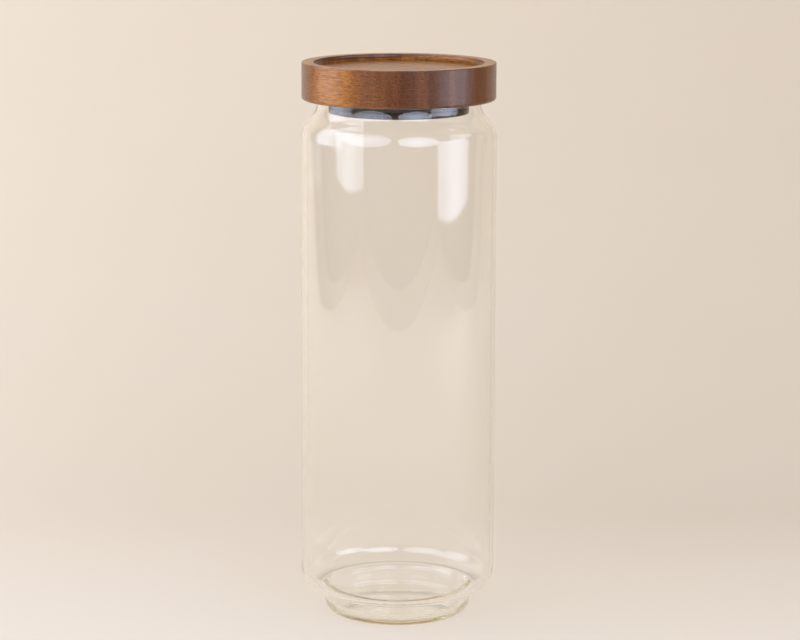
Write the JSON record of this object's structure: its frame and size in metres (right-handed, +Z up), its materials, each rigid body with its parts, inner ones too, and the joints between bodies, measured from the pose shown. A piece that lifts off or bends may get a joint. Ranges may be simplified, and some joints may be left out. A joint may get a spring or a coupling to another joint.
{
  "type": "glass canister",
  "caption": "Tall clear glass food canister on a narrower foot, with a short neck and a turned wooden plug lid, recessed on top so that canisters stack.",
  "frame": {"origin": "middle of the foot, on the surface that the canister stands on", "axes": "+Z up along the turning axis; X and Y are equal, because every piece is round"},
  "size_m": [0.1, 0.1, 0.2865],
  "materials": {
    "clear_glass": "clear borosilicate glass, fire-polished, with a faint warm green tint where it is thick",
    "lid_wood": "oiled acacia, turned and sanded, satin",
    "seal_silicone": "translucent silicone, semi-matt"
  },
  "bodies": {
    "jar": {"glass_jar": "clear_glass"},
    "lid": {"lid": "lid_wood", "seal_ring": "seal_silicone"}
  },
  "joints": [
    {"name": "lid_lift", "type": "slide", "parent": "jar", "child": "lid", "axis": [0, 0, 1], "range_m": [0, 0.12]}
  ]
}
